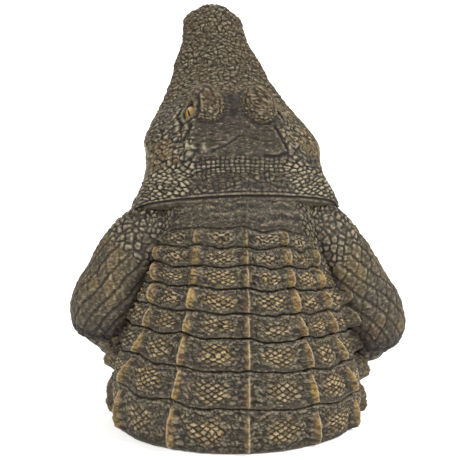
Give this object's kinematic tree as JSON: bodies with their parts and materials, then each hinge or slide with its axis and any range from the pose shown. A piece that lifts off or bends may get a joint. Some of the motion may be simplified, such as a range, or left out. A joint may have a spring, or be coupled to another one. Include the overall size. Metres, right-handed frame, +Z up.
{
  "type": "alligator garden statue",
  "caption": "Cast garden statue of an alligator rearing out of the ground on a flat cut base, with keeled back scutes, raised snout and bent forelegs.",
  "frame": {"origin": "on the floor, under the middle of the statue's bounding box", "axes": "the statue faces -Y, +X is its own left side, +Z is up"},
  "size_m": [0.5056, 0.5246, 0.5999],
  "materials": {
    "painted_resin": "matte, painted umber and grey-brown with ochre dry-brushed over the raised parts"
  },
  "bodies": {
    "root": {"alligator_statue": "painted_resin"}
  },
  "joints": []
}
